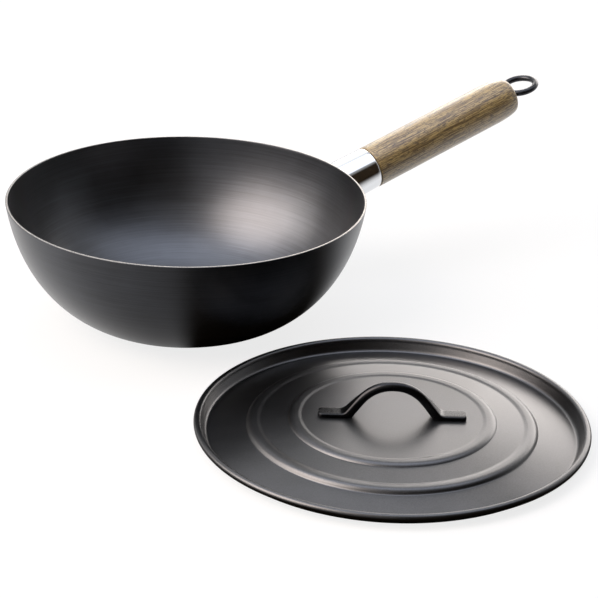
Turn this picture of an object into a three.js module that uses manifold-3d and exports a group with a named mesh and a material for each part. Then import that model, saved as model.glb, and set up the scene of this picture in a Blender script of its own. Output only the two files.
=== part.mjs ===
import * as THREE from 'three';
import { ParametricGeometry } from 'three/addons/geometries/ParametricGeometry.js';
import { mergeVertices } from 'three/addons/utils/BufferGeometryUtils.js';
import Module from 'manifold-3d';

const wasm = await Module();
wasm.setup();

// Sizes shared by all pieces, in millimetres and degrees; z = 0 is the table
const degree = Math.PI / 180;
const clearance = 0.3;

// Bowl
const rimRadius = 130;
const bowlHeight = 90.7;
const baseRadius = 52;
const bowlWall = 1.6;
const rimLean = 8.6;
const baseBlend = 23.3;
const rimBlend = 68.2;

// Handle axis: climbs along +X and passes this far below the rim's edge
const handleTilt = 14.4;
const handleDrop = 18.7;
const handleAxisHeight = bowlHeight - handleDrop - rimRadius * Math.tan(handleTilt * degree);
const handleRoot = rimRadius / Math.cos(handleTilt * degree);

// Socket: places are distances along the handle axis; the tube widens towards the bowl
const socketRadius = 16.1;
const socketTaper = 0.026;
const socketWall = 1.2;
const socketLength = 36.2;
const socketEdge = 0.8;
const socketEnd = handleRoot + socketLength;
const weldRadius = 1.7;
const weldSpan = 240;

// Grip, whose tenon sits in the socket
const gripStep = 0.2;
const gripGap = 0.8;
const gripLength = 137.9;
const gripEndRound = 20;
const gripEndDrop = 2.6;
const gripChamfer = 0.8;
const tenonLength = 17.9;
const gripRadius = socketRadius + gripStep;
const gripStart = socketEnd + gripGap;
const gripEnd = gripStart + gripLength;

// Disc and nut inside the socket
const plateThickness = 3;
const nutWall = 1.3;
const nutHeight = 5;
const plateFace = gripStart - tenonLength - clearance;
const nutTop = plateFace - plateThickness - clearance;

// Rod with its hanging ring, and the washer that the ring is drawn against
const rodRadius = 2.4;
const rodPast = 3.7;
const rodChamfer = 0.6;
const ringRadius = 12.5;
const ringLift = 0.2;
const ringSink = 0.8;
const washerRadius = 7.5;
const washerThickness = 1.2;
const washerPlay = 1.3;
const boreRadius = rodRadius + clearance;
const rodTip = nutTop - nutHeight - rodPast;
const ringCentre = gripEnd - ringSink + rodRadius + ringRadius;
const washerTop = gripEnd - ringSink - clearance;
const recessFloor = washerTop - washerThickness - clearance;

// Lid: its place on the table beside the bowl, reaching a little way under the rim
const lidOverhang = 1.2;
const lidTuck = 25.5;
const lidBearing = -87.5;
const lidTurn = -36;
const lidRadius = rimRadius + lidOverhang;
const lidDistance = rimRadius + lidRadius - lidTuck;

// Lid: sheet, rolled edge, and the gutter that drops inside the bowl's rim
const lidSheet = 1;
const lidPlay = 3.2;
const curlRadius = 2.5;
const curlRise = 6.5;
const curlEnd = -120;
const gutterFillet = 1.6;
const gutterRadius = rimRadius - bowlWall - lidPlay - lidSheet - gutterFillet;

// Lid: two cones, each with a ridge at its inner edge, around a flat middle; the outer one comes first
const coneSlopes = [0.18, 0.1];
const ridgeInsets = [26.05, 53.4];
const ridgeRises = [3.3, 2.1];
const ridgeFace = 6.6;
const ridgeBack = 3.2;
const ridgeFall = 0.4;
const ridgeFeet = ridgeInsets.map((inset) => gutterRadius - inset);
const ridgeEnds = ridgeFeet.map((foot) => foot - ridgeFace - ridgeBack);

// Lid handle: an arched round bar, flattened at its feet to a tab at each end; squareness 2 is an ellipse
const barWidth = 6.4;
const barDepth = 6.2;
const barSquareness = 2.2;
const barFlatFrom = 20;
const archHalf = 32.4;
const archRise = 24.6;
const archLean = 50;
const archCrownPull = 16;
const archLegPull = 12.5;
const kneeBend = 2.5;
const tabWidth = 11.2;
const tabThickness = 2.8;
const tabSquareness = 5;
const tabLength = 13.9;
const tabCorner = 2.5;
const tabEnd = archHalf + kneeBend + tabLength;

// Facets
const roundFacets = 72;
const lidFacets = 60;
const handleFacets = 40;
const rodFacets = 24;

function point(x, y) {
  return new THREE.Vector2(x, y);
}

// Closed solid from a three.js geometry
function solid(geometry) {
  geometry.deleteAttribute('normal');
  geometry.deleteAttribute('uv');
  const merged = mergeVertices(geometry, 1e-3);
  const index = merged.index.array;
  const triangles = [];
  for (let i = 0; i < index.length; i += 3) {
    const [a, b, c] = index.slice(i, i + 3);
    if (a !== b && b !== c && c !== a) triangles.push(a, b, c);
  }
  return new wasm.Manifold(new wasm.Mesh({
    numProp: 3,
    vertProperties: new Float32Array(merged.attributes.position.array),
    triVerts: new Uint32Array(triangles),
  }));
}

// Solid of revolution about Z from a profile of radius and height
function turned(profile, facets) {
  return new THREE.LatheGeometry(profile, facets).rotateX(Math.PI / 2);
}

// Closed ring profile for a tube between two radii
function tubeProfile(inner, outer, low, high) {
  return [point(outer, low), point(outer, high), point(inner, high), point(inner, low), point(outer, low)];
}

// Solid rod profile that starts and ends on the axis
function rodProfile(radius, low, high) {
  return [point(0, low), point(radius, low), point(radius, high), point(0, high)];
}

// A line moved sideways, to its left when the distance is positive; a start on the axis stays there
function offsetLine(line, distance) {
  return line.map((here, i) => {
    const before = line[Math.max(i - 1, 0)];
    const after = line[Math.min(i + 1, line.length - 1)];
    const into = here.clone().sub(before).normalize();
    const out = after.clone().sub(here).normalize();
    const along = here.x === 0 ? point(1, 0) : into.clone().add(out).normalize();
    const stretch = i > 0 && i < line.length - 1 ? 1 / along.dot(out) : 1;
    return point(here.x - along.y * distance * stretch, here.y + along.x * distance * stretch);
  });
}

// Closed profile of a sheet between its lower and its upper face
function sheetProfile(lower, upper) {
  return [...lower, ...upper.toReversed()];
}

// From a frame with Z along the handle to the wok's frame
function alongHandle(geometry) {
  return geometry.rotateY((90 - handleTilt) * degree).translate(0, 0, handleAxisHeight);
}

// Bowl
function bowlLine(grow) {
  const foot = point(baseRadius, 0);
  const rim = point(rimRadius, bowlHeight);
  const lean = point(Math.sin(rimLean * degree), Math.cos(rimLean * degree));
  const wall = new THREE.CubicBezierCurve(
    foot,
    point(baseRadius + baseBlend, 0),
    rim.clone().addScaledVector(lean, -rimBlend),
    rim,
  );
  const line = [point(0, 0), ...wall.getSpacedPoints(16)];
  return offsetLine(line, -grow);
}

function buildBowl() {
  const outside = bowlLine(0);
  return solid(turned(sheetProfile(outside, offsetLine(outside, bowlWall)), roundFacets));
}

// The bowl's outside grown by the clearance and closed at the top, for cutting its neighbours
function bowlKeepOut() {
  const line = bowlLine(clearance);
  const top = line[line.length - 1];
  const above = bowlHeight + socketRadius;
  return solid(turned([...line, point(top.x, above), point(0, above)], roundFacets));
}

// Outside radius of the socket at a distance along the handle
function socketAt(s) {
  return socketRadius + socketTaper * (socketEnd - s);
}

// Socket tube, cut to the bowl
function buildSocket() {
  const start = baseRadius;
  const shoulder = socketEnd - socketEdge;
  const profile = [
    point(socketAt(start), start),
    point(socketAt(shoulder), shoulder),
    point(socketRadius - socketEdge / 3, socketEnd - socketEdge / 3),
    point(socketRadius - socketEdge, socketEnd),
    point(socketRadius - socketWall, socketEnd),
    point(socketAt(start) - socketWall, start),
    point(socketAt(start), start),
  ];
  const tube = solid(alongHandle(turned(profile, handleFacets)));
  return tube.subtract(bowlKeepOut());
}

// Radius of the bowl's outside at a height
function bowlAt(z) {
  const line = bowlLine(0);
  const above = line.findIndex((p, i) => i > 0 && p.y >= z);
  const k = above < 0 ? line.length - 1 : above;
  const t = (z - line[k - 1].y) / (line[k].y - line[k - 1].y);
  return line[k - 1].x + t * (line[k].x - line[k - 1].x);
}

// Point where a line along the socket's outside meets the bowl; angle 0 is the underside
function seamPoint(angle) {
  const tilt = handleTilt * degree;
  const place = (s) => {
    const down = socketAt(s) * Math.cos(angle);
    return new THREE.Vector3(
      s * Math.cos(tilt) + down * Math.sin(tilt),
      socketAt(s) * Math.sin(angle),
      handleAxisHeight + s * Math.sin(tilt) - down * Math.cos(tilt),
    );
  };
  let near = baseRadius;
  let far = socketEnd;
  for (let i = 0; i < 40; i += 1) {
    const middle = (near + far) / 2;
    const p = place(middle);
    if (Math.hypot(p.x, p.y) < bowlAt(p.z)) near = middle;
    else far = middle;
  }
  return place(far);
}

// Weld seam in the corner of bowl and socket
function buildWeld() {
  const steps = 28;
  const half = weldSpan * degree / 2;
  const points = [];
  for (let i = 0; i <= steps; i += 1) {
    points.push(seamPoint(-half + 2 * half * i / steps));
  }
  const section = new THREE.Shape().absarc(0, 0, weldRadius, 0, 2 * Math.PI);
  const bead = new THREE.ExtrudeGeometry(section, {
    steps,
    curveSegments: 5,
    bevelEnabled: false,
    extrudePath: new THREE.CatmullRomCurve3(points),
  });
  const core = turned([
    point(0, 0),
    point(socketAt(0) + clearance, 0),
    point(socketRadius + clearance, socketEnd),
    point(0, socketEnd),
  ], handleFacets);
  return solid(bead).subtract(solid(alongHandle(core))).subtract(bowlKeepOut());
}

// Disc across the socket, with the rod's hole
function buildAnchorPlate() {
  const outer = socketAt(plateFace) - socketWall - clearance;
  const profile = tubeProfile(boreRadius, outer, plateFace - plateThickness, plateFace);
  return solid(alongHandle(turned(profile, handleFacets)));
}

// Hexagon nut behind the disc
function buildAnchorNut() {
  const corner = (boreRadius + nutWall) / Math.cos(30 * degree);
  const blank = turned(rodProfile(corner, nutTop - nutHeight, nutTop), 6);
  const bore = turned(rodProfile(boreRadius, nutTop - 2 * nutHeight, nutTop + nutHeight), rodFacets);
  return solid(alongHandle(blank)).subtract(solid(alongHandle(bore)));
}

// Grip: tenon, shoulder, body, eased end, recess and bore
function buildGrip() {
  const tenon = socketRadius - socketWall - clearance;
  const tenonTip = gripStart - tenonLength;
  const recess = washerRadius + washerPlay;
  const easeStart = gripEnd - gripEndRound;
  const profile = [
    point(boreRadius, tenonTip),
    point(tenon - gripChamfer, tenonTip),
    point(tenon, tenonTip + gripChamfer),
    point(tenon, gripStart),
    point(gripRadius - gripChamfer, gripStart),
    point(gripRadius, gripStart + gripChamfer),
  ];
  const easeSteps = 8;
  for (let i = 0; i <= easeSteps; i += 1) {
    const a = 90 * degree * i / easeSteps;
    profile.push(point(
      gripRadius - gripEndDrop + gripEndDrop * Math.cos(a),
      easeStart + gripEndRound * Math.sin(a),
    ));
  }
  profile.push(
    point(recess, gripEnd),
    point(recess, recessFloor),
    point(boreRadius, recessFloor),
    profile[0].clone(),
  );
  return solid(alongHandle(turned(profile, handleFacets)));
}

// Rod and ring
function buildEyeRod() {
  const ring = new THREE.TorusGeometry(ringRadius, rodRadius, rodFacets / 2, handleFacets);
  ring.rotateY(Math.PI / 2).translate(-rodRadius - ringLift, 0, ringCentre);
  const joint = ringCentre - ringRadius + rodRadius / 2;
  const profile = [
    point(0, rodTip),
    point(rodRadius - rodChamfer, rodTip),
    point(rodRadius, rodTip + rodChamfer),
    point(rodRadius, joint),
    point(rodRadius * Math.SQRT1_2, joint + rodRadius * Math.SQRT1_2),
    point(0, joint + rodRadius),
  ];
  return solid(alongHandle(ring)).add(solid(alongHandle(turned(profile, rodFacets))));
}

// Washer in the grip's recess
function buildWasher() {
  const low = washerTop - washerThickness;
  const profile = tubeProfile(boreRadius, washerRadius, low, washerTop);
  return solid(alongHandle(turned(profile, handleFacets)));
}

// Height of the lid's upper face above its gutter; a ridge has a steep foot and a rounded top
function plateHeight(radius) {
  let height = 0;
  let start = gutterRadius;
  ridgeFeet.forEach((foot, i) => {
    height += coneSlopes[i] * (start - Math.min(Math.max(radius, foot), start));
    const climb = THREE.MathUtils.clamp((foot - radius) / ridgeFace, 0, 1);
    const fall = THREE.MathUtils.smoothstep(foot - ridgeFace - radius, 0, ridgeBack);
    height += ridgeRises[i] * (1 - (1 - climb) ** 4) - ridgeFall * fall;
    start = ridgeEnds[i];
  });
  return height;
}

// Upper face of the lid's sheet from the centre out and around the rolled edge
function lidLine() {
  const radii = [0, ridgeEnds[1] / 2];
  const faceSteps = 5;
  for (const foot of ridgeFeet.toReversed()) {
    radii.push(foot - ridgeFace - ridgeBack, foot - ridgeFace - ridgeBack / 2);
    for (let i = faceSteps; i >= 0; i -= 1) radii.push(foot - ridgeFace * (i / faceSteps) ** 1.6);
  }
  const gutter = gutterRadius - gutterFillet;
  radii.push((ridgeFeet[0] + gutter) / 2, gutter);
  const line = radii.map((radius) => point(radius, plateHeight(radius)));
  line.push(
    point(gutterRadius, gutterFillet * 0.1),
    point(gutterRadius + gutterFillet * 0.7, gutterFillet * 0.6),
    point(gutterRadius + gutterFillet, gutterFillet * 1.4),
  );
  const curlCentre = lidRadius - curlRadius;
  const steps = 9;
  for (let i = 0; i <= steps; i += 1) {
    const a = (180 + (curlEnd - 180) * i / steps) * degree;
    line.push(point(curlCentre + curlRadius * Math.cos(a), curlRise + curlRadius * Math.sin(a)));
  }
  return line;
}

// Lowest point of the lid's sheet, which stands on the table
function lidFloor() {
  return Math.min(...offsetLine(lidLine(), -lidSheet).map((p) => p.y));
}

// From a frame at the lid's centre to the wok's frame
function atLid(geometry) {
  const x = lidDistance * Math.cos(lidBearing * degree);
  const y = lidDistance * Math.sin(lidBearing * degree);
  return geometry.rotateZ(lidTurn * degree).translate(x, y, -lidFloor());
}

function buildLid() {
  const upper = lidLine();
  return solid(atLid(turned(sheetProfile(offsetLine(upper, -lidSheet), upper), lidFacets)));
}

// Upper line of the lid handle in its side view, from the crown out to where a tab's corners start
function barLine(seat) {
  const crown = point(0, plateHeight(0) + archRise);
  const lean = point(Math.cos(archLean * degree), -Math.sin(archLean * degree));
  const knee = point(archHalf, seat + tabThickness);
  const legEnd = knee.clone().addScaledVector(lean, -kneeBend);
  const arch = new THREE.CubicBezierCurve(
    crown,
    point(archCrownPull, crown.y),
    legEnd.clone().addScaledVector(lean, -archLegPull),
    legEnd,
  );
  const bend = new THREE.QuadraticBezierCurve(legEnd, knee, point(archHalf + kneeBend, knee.y));
  return [...arch.getPoints(12), ...bend.getPoints(4).slice(1), point(tabEnd - tabCorner, knee.y)];
}

// Half of the bar, as sections from the crown to the tip of a tab, none reaching below the seat
function barSections() {
  const seat = plateHeight(0) + clearance;
  const line = barLine(seat);
  const sections = line.map((top, i) => {
    const before = i > 0 ? line[i - 1] : point(-line[1].x, line[1].y);
    const after = line[Math.min(i + 1, line.length - 1)];
    const way = after.clone().sub(before).normalize();
    const depth = Math.min(barDepth, (top.y - seat) / way.x);
    const flat = THREE.MathUtils.smoothstep(top.x, barFlatFrom, archHalf);
    return {
      spot: point(top.x + way.y * depth / 2, top.y - way.x * depth / 2),
      way,
      wide: THREE.MathUtils.lerp(barWidth, tabWidth, flat) / 2,
      tall: depth / 2,
      square: THREE.MathUtils.lerp(barSquareness, tabSquareness, flat),
    };
  });
  const tab = sections[sections.length - 1];
  const cornerSteps = 4;
  for (let i = 1; i <= cornerSteps; i += 1) {
    const a = 90 * degree * i / cornerSteps;
    const spot = point(tab.spot.x + tabCorner * Math.sin(a), tab.spot.y);
    sections.push({ ...tab, spot, wide: tab.wide - tabCorner * (1 - Math.cos(a)) });
  }
  sections.push({ ...sections[sections.length - 1], wide: 0, tall: 0 });
  return sections;
}

// Lid handle: arched bar with a flat tab at each end
function buildLidHandle() {
  const half = barSections();
  const mirrored = half.slice(1).toReversed().map((section) => ({
    ...section,
    spot: point(-section.spot.x, section.spot.y),
    way: point(section.way.x, -section.way.y),
  }));
  const sections = [...mirrored, ...half];
  const last = sections.length - 1;
  const squared = (value, square) => Math.sign(value) * Math.abs(value) ** (2 / square);
  const bar = new ParametricGeometry((u, v, target) => {
    const { spot, way, wide, tall, square } = sections[Math.round(u * last)];
    const a = -360 * degree * v;
    const side = wide * squared(Math.cos(a), square);
    const up = tall * squared(Math.sin(a), square);
    target.set(spot.x - way.y * up, side, spot.y + way.x * up);
  }, last, rodFacets);
  return solid(atLid(bar));
}

// Colours and finishes
const darkIron = { color: 0x2b2c2f, roughness: 0.42, metalness: 0.9 };
const darkSteel = { color: 0x26272a, roughness: 0.38, metalness: 0.85 };
const chromed = { color: 0xdfe2e6, roughness: 0.08, metalness: 1 };
const plainSteel = { color: 0x8d9094, roughness: 0.4, metalness: 1 };
const wood = { color: 0x7a6240, roughness: 0.6, metalness: 0 };
const blackWire = { color: 0x1c1d1f, roughness: 0.35, metalness: 0.8 };

const pieces = [
  ['wok_bowl', buildBowl, darkIron],
  ['handle_socket', buildSocket, chromed],
  ['socket_weld', buildWeld, darkIron],
  ['anchor_plate', buildAnchorPlate, plainSteel],
  ['anchor_nut', buildAnchorNut, plainSteel],
  ['wood_grip', buildGrip, wood],
  ['eye_rod', buildEyeRod, blackWire],
  ['end_washer', buildWasher, plainSteel],
  ['lid_plate', buildLid, darkSteel],
  ['lid_handle', buildLidHandle, darkSteel],
];

const wok = new THREE.Group();
wok.name = 'wok';
for (const [name, build, finish] of pieces) {
  const { vertProperties, triVerts } = build().getMesh();
  const geometry = new THREE.BufferGeometry();
  geometry.setAttribute('position', new THREE.BufferAttribute(new Float32Array(vertProperties), 3));
  geometry.setIndex(new THREE.BufferAttribute(new Uint32Array(triVerts), 1));
  geometry.computeVertexNormals();
  const mesh = new THREE.Mesh(geometry, new THREE.MeshStandardMaterial(finish));
  mesh.name = name;
  wok.add(mesh);
}

export default wok;
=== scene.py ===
import math

import bmesh
import bpy
from mathutils import Matrix, Vector


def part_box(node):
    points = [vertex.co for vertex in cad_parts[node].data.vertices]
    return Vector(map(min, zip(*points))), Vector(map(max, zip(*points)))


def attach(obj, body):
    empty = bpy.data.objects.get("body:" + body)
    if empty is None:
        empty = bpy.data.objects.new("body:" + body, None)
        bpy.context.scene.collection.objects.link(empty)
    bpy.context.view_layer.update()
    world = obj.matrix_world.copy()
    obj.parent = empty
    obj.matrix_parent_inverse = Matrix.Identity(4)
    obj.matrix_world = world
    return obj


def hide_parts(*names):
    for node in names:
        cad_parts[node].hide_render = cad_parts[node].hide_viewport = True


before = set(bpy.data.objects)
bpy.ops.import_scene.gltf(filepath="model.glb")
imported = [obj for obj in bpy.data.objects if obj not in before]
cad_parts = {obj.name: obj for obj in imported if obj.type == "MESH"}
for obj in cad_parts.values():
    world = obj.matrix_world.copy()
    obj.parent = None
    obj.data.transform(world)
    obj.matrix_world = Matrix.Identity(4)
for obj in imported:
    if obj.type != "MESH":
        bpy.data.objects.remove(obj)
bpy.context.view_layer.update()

millimetre = 0.001
print("frame loaded:", len(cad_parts), "nodes")


# one sRGB hex colour as linear red, green, blue, alpha
def toLinear(hexColour):
    linear = []
    for i in (1, 3, 5):
        value = int(hexColour[i:i + 2], 16) / 255
        linear.append(value / 12.92 if value <= 0.04045 else ((value + 0.055) / 1.055) ** 2.4)
    return (*linear, 1.0)


# sets a node's inputs, by name or number; a node given as a value stands for its first output
def setInputs(tree, node, inputs):
    for key, value in inputs.items():
        if isinstance(value, bpy.types.Node):
            value = value.outputs[0]
        if isinstance(value, bpy.types.NodeSocket):
            tree.links.new(value, node.inputs[key])
        else:
            node.inputs[key].default_value = value


# adds a node with its own settings, its inputs, and a colour ramp's stops
def addNode(tree, kind, inputs=None, stops=(), **settings):
    node = tree.nodes.new(kind)
    for name, value in settings.items():
        setattr(node, name, value)
    for i, (position, colour) in enumerate(stops):
        node.color_ramp.elements[i].position = position
        node.color_ramp.elements[i].color = toLinear(colour)
    setInputs(tree, node, inputs or {})
    return node


# a material with its Principled shader and the object's own coordinates, ready for patterns
def newMaterial(name):
    material = bpy.data.materials.new(name)
    material.use_nodes = True
    tree = material.node_tree
    place = addNode(tree, "ShaderNodeTexCoord").outputs["Object"]
    return material, tree, tree.nodes["Principled BSDF"], place


noiseSpan = (0.3, 0.7)  # most values of a noise lie between these

# blued carbon steel, spun and rubbed with oil: satin blue-black with hairlines round the axis
bowlFinish = {
    "dark": "#3d3e41",
    "light": "#4b4d52",
    "stops": (0.35, 0.68),
    "hairSpacing": 0.9 * millimetre,  # real hairlines are nearer 0.3 mm, too fine to show here
    "hairBreaks": 1.6,  # how often a hairline fades on its way round
    "hairShare": 0.55,
    "hairDepth": 0.2 * millimetre,
    "patchSize": 45 * millimetre,
    "roughness": (0.32, 0.4),
    "oil": 0.3,
    "oilRoughness": 0.25,
}


def makeBluedSteel():
    material, tree, shader, place = newMaterial("spun_blued_steel")
    breaks = bowlFinish["hairBreaks"]
    lathe = addNode(tree, "ShaderNodeAttribute", attribute_name="lathe")
    lines = addNode(tree, "ShaderNodeMapping", {
        "Vector": lathe.outputs["Vector"], "Scale": (1 / bowlFinish["hairSpacing"], breaks, breaks)})
    hair = addNode(tree, "ShaderNodeTexNoise", {
        "Vector": lines, "Scale": 1.0, "Detail": 3.0, "Roughness": 0.65})
    patches = addNode(tree, "ShaderNodeTexNoise", {
        "Vector": place, "Scale": 1 / bowlFinish["patchSize"], "Detail": 4.0})
    blend = addNode(tree, "ShaderNodeMix", {
        0: bowlFinish["hairShare"], 2: patches, 3: hair}, data_type="FLOAT")
    colours = addNode(
        tree, "ShaderNodeValToRGB", {"Fac": blend},
        stops=zip(bowlFinish["stops"], (bowlFinish["dark"], bowlFinish["light"])))
    rough = addNode(tree, "ShaderNodeMapRange", {
        "Value": blend, "From Min": noiseSpan[0], "From Max": noiseSpan[1],
        "To Min": bowlFinish["roughness"][0], "To Max": bowlFinish["roughness"][1]})
    bump = addNode(tree, "ShaderNodeBump", {
        "Height": hair, "Strength": 0.08, "Distance": bowlFinish["hairDepth"]})
    setInputs(tree, shader, {
        "Base Color": colours, "Roughness": rough,
        "Normal": bump, "Metallic": 1.0,
        "Coat Weight": bowlFinish["oil"], "Coat Roughness": bowlFinish["oilRoughness"]})
    return material


# lighter steel on the rim's flat face, a painted highlight: a thin bright line with fine scratches
edgeFinish = {
    "dark": "#6a6865",
    "light": "#a9a5a0",
    "stops": (0.3, 0.6),
    "scratch": 0.7 * millimetre,
    "scratchDepth": 0.1 * millimetre,
    "roughness": 0.5,
}


def makeRimHighlightSteel():
    material, tree, shader, place = newMaterial("rim_painted_highlight_steel")
    scratch = addNode(tree, "ShaderNodeTexNoise", {
        "Vector": place, "Scale": 1 / edgeFinish["scratch"], "Detail": 5.0})
    colours = addNode(
        tree, "ShaderNodeValToRGB", {"Fac": scratch},
        stops=zip(edgeFinish["stops"], (edgeFinish["dark"], edgeFinish["light"])))
    bump = addNode(tree, "ShaderNodeBump", {
        "Height": scratch, "Strength": 0.2, "Distance": edgeFinish["scratchDepth"]})
    setInputs(tree, shader, {
        "Base Color": colours, "Normal": bump,
        "Metallic": 1.0, "Roughness": edgeFinish["roughness"]})
    return material


# blackened sheet steel, baked on: satin near-black with a very fine grain
lidFinish = {
    "dark": "#464647",
    "light": "#545456",
    "stops": (0.35, 0.65),
    "grain": 0.9 * millimetre,  # drawn coarser than the real grain so that it shows
    "grainShare": 0.5,
    "grainDepth": 0.2 * millimetre,
    "patchSize": 60 * millimetre,
    "roughness": (0.3, 0.38),
}
# the same baking on thick bar: blacker and a little glossier than the sheet
barFinish = dict(lidFinish, dark="#242425", light="#2f2f31", roughness=(0.24, 0.32))


def makeBakedBlack(name, finish):
    material, tree, shader, place = newMaterial(name)
    grain = addNode(tree, "ShaderNodeTexNoise", {
        "Vector": place, "Scale": 1 / finish["grain"], "Detail": 4.0})
    patches = addNode(tree, "ShaderNodeTexNoise", {
        "Vector": place, "Scale": 1 / finish["patchSize"], "Detail": 5.0})
    blend = addNode(tree, "ShaderNodeMix", {
        0: finish["grainShare"], 2: patches, 3: grain}, data_type="FLOAT")
    colours = addNode(
        tree, "ShaderNodeValToRGB", {"Fac": blend},
        stops=zip(finish["stops"], (finish["dark"], finish["light"])))
    rough = addNode(tree, "ShaderNodeMapRange", {
        "Value": blend, "From Min": noiseSpan[0], "From Max": noiseSpan[1],
        "To Min": finish["roughness"][0], "To Max": finish["roughness"][1]})
    bump = addNode(tree, "ShaderNodeBump", {
        "Height": grain, "Strength": 0.06, "Distance": finish["grainDepth"]})
    setInputs(tree, shader, {
        "Base Color": colours, "Roughness": rough,
        "Normal": bump, "Metallic": 1.0})
    return material


# polished chrome plate on steel tube: a mirror with faint smears from handling
chromeFinish = {
    "colour": "#e4e6e9",
    "smear": 9 * millimetre,
    "smearSpan": (0.35, 0.7),
    "roughness": (0.04, 0.1),
}


def makeChrome():
    material, tree, shader, place = newMaterial("polished_chrome_plate")
    low, high = chromeFinish["smearSpan"]
    smear = addNode(tree, "ShaderNodeTexNoise", {
        "Vector": place, "Scale": 1 / chromeFinish["smear"], "Detail": 6.0})
    rough = addNode(tree, "ShaderNodeMapRange", {
        "Value": smear, "From Min": low, "From Max": high,
        "To Min": chromeFinish["roughness"][0], "To Max": chromeFinish["roughness"][1]})
    setInputs(tree, shader, {
        "Base Color": toLinear(chromeFinish["colour"]), "Roughness": rough,
        "Metallic": 1.0})
    return material


# plain mild steel, sawn and turned: grey with fine marks
steelFinish = {"dark": "#77797c", "light": "#a3a5a8", "mark": 1.2 * millimetre, "roughness": 0.4}


def makePlainSteel():
    material, tree, shader, place = newMaterial("turned_mild_steel")
    marks = addNode(tree, "ShaderNodeTexNoise", {
        "Vector": place, "Scale": 1 / steelFinish["mark"], "Detail": 4.0})
    colours = addNode(
        tree, "ShaderNodeValToRGB", {"Fac": marks},
        stops=((0, steelFinish["dark"]), (1, steelFinish["light"])))
    setInputs(tree, shader, {
        "Base Color": colours, "Metallic": 1.0, "Roughness": steelFinish["roughness"]})
    return material


# blackened round steel: glossy black with slightly uneven gloss
wireFinish = {
    "dark": "#26272a",
    "light": "#3a3b3e",
    "mottle": 3 * millimetre,
    "roughness": (0.22, 0.34),
    "metallic": 0.85,  # the black skin hides some of the metal
}


def makeBlackWire():
    material, tree, shader, place = newMaterial("blackened_round_steel")
    mottle = addNode(tree, "ShaderNodeTexNoise", {
        "Vector": place, "Scale": 1 / wireFinish["mottle"], "Detail": 5.0})
    colours = addNode(
        tree, "ShaderNodeValToRGB", {"Fac": mottle},
        stops=((0, wireFinish["dark"]), (1, wireFinish["light"])))
    rough = addNode(tree, "ShaderNodeMapRange", {
        "Value": mottle, "From Min": noiseSpan[0], "From Max": noiseSpan[1],
        "To Min": wireFinish["roughness"][0], "To Max": wireFinish["roughness"][1]})
    setInputs(tree, shader, {
        "Base Color": colours, "Roughness": rough, "Metallic": wireFinish["metallic"]})
    return material


# handle axis, shared by everything on it: it climbs along +X from the bowl's axis
handle = {"tilt": 14.4, "axisHeight": 38.6 * millimetre, "root": 134.22 * millimetre}
handleTurn = Matrix.Rotation(math.radians(90 - handle["tilt"]), 4, "Y")
alongHandle = Matrix.Translation((0, 0, handle["axisHeight"])) @ handleTurn

# oiled open-pored hardwood, turned: brown, with long fine dark pores along the grain
woodFinish = {
    "pale": "#9a8453",
    "middle": "#4f3914",
    "stops": (0.41, 0.58),
    "pore": "#2e1b06",
    "grain": (26 * millimetre, 0.8 * millimetre),  # length and width of a streak
    "pores": (4.2 * millimetre, 0.6 * millimetre),
    "poreSpan": (0.51, 0.61),
    "poreShare": 0.9,
    "poreDepth": 0.15 * millimetre,
    "roughness": (0.32, 0.5),
    "ior": 1.47,
    "oil": 1.0,
    "oilRoughness": 0.4,
}


def makeHardwood():
    material, tree, shader, place = newMaterial("turned_oiled_hardwood")
    turn = (0, -math.radians(handle["tilt"]), 0)
    base = (0, 0, handle["axisHeight"])
    streak = []
    for length, width in (woodFinish["grain"], woodFinish["pores"]):
        mapping = addNode(tree, "ShaderNodeMapping", {
            "Vector": place, "Location": base, "Rotation": turn,
            "Scale": (length, width, width)}, vector_type="TEXTURE")
        streak.append(addNode(tree, "ShaderNodeTexNoise", {
            "Vector": mapping, "Scale": 1.0, "Detail": 3.0, "Roughness": 0.6}))
    tone = addNode(
        tree, "ShaderNodeValToRGB", {"Fac": streak[0]},
        stops=zip(woodFinish["stops"], (woodFinish["middle"], woodFinish["pale"])))
    pore = addNode(tree, "ShaderNodeMapRange", {
        "Value": streak[1], "From Min": woodFinish["poreSpan"][0],
        "From Max": woodFinish["poreSpan"][1], "To Max": woodFinish["poreShare"]})
    colour = addNode(tree, "ShaderNodeMix", {
        0: pore, 6: tone, 7: toLinear(woodFinish["pore"])}, data_type="RGBA")
    rough = addNode(tree, "ShaderNodeMapRange", {
        "Value": pore, "To Min": woodFinish["roughness"][0], "To Max": woodFinish["roughness"][1]})
    bump = addNode(tree, "ShaderNodeBump", {
        "Height": pore, "Strength": 0.35, "Distance": woodFinish["poreDepth"]}, invert=True)
    setInputs(tree, shader, {
        "Base Color": colour.outputs[2], "Roughness": rough, "Normal": bump, "IOR": woodFinish["ior"],
        "Coat Weight": woodFinish["oil"], "Coat Roughness": woodFinish["oilRoughness"]})
    return material


finishes = {
    "bluedSteel": makeBluedSteel(),
    "rimHighlightSteel": makeRimHighlightSteel(),
    "blackSheet": makeBakedBlack("baked_black_sheet_steel", lidFinish),
    "blackBar": makeBakedBlack("baked_black_bar_steel", barFinish),
    "chrome": makeChrome(),
    "plainSteel": makePlainSteel(),
    "blackWire": makeBlackWire(),
    "hardwood": makeHardwood(),
}
print("materials made:", len(finishes))


# links a finished mesh as a piece that rides on a body and stands for CAD nodes
def addPiece(name, mesh, body, slotName, *cadNodes):
    piece = bpy.data.objects.new(name, mesh)
    bpy.context.scene.collection.objects.link(piece)
    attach(piece, body)
    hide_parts(*cadNodes)
    print("piece made:", name, len(mesh.polygons), "faces")


creaseAngle = 35


# faces outwards, with creases only where the surface really turns
def finishMesh(mesh):
    work = bmesh.new()
    work.from_mesh(mesh)
    bmesh.ops.recalc_face_normals(work, faces=work.faces)
    work.to_mesh(mesh)
    work.free()
    mesh.shade_smooth()
    mesh.set_sharp_from_angle(angle=math.radians(creaseAngle))


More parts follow.
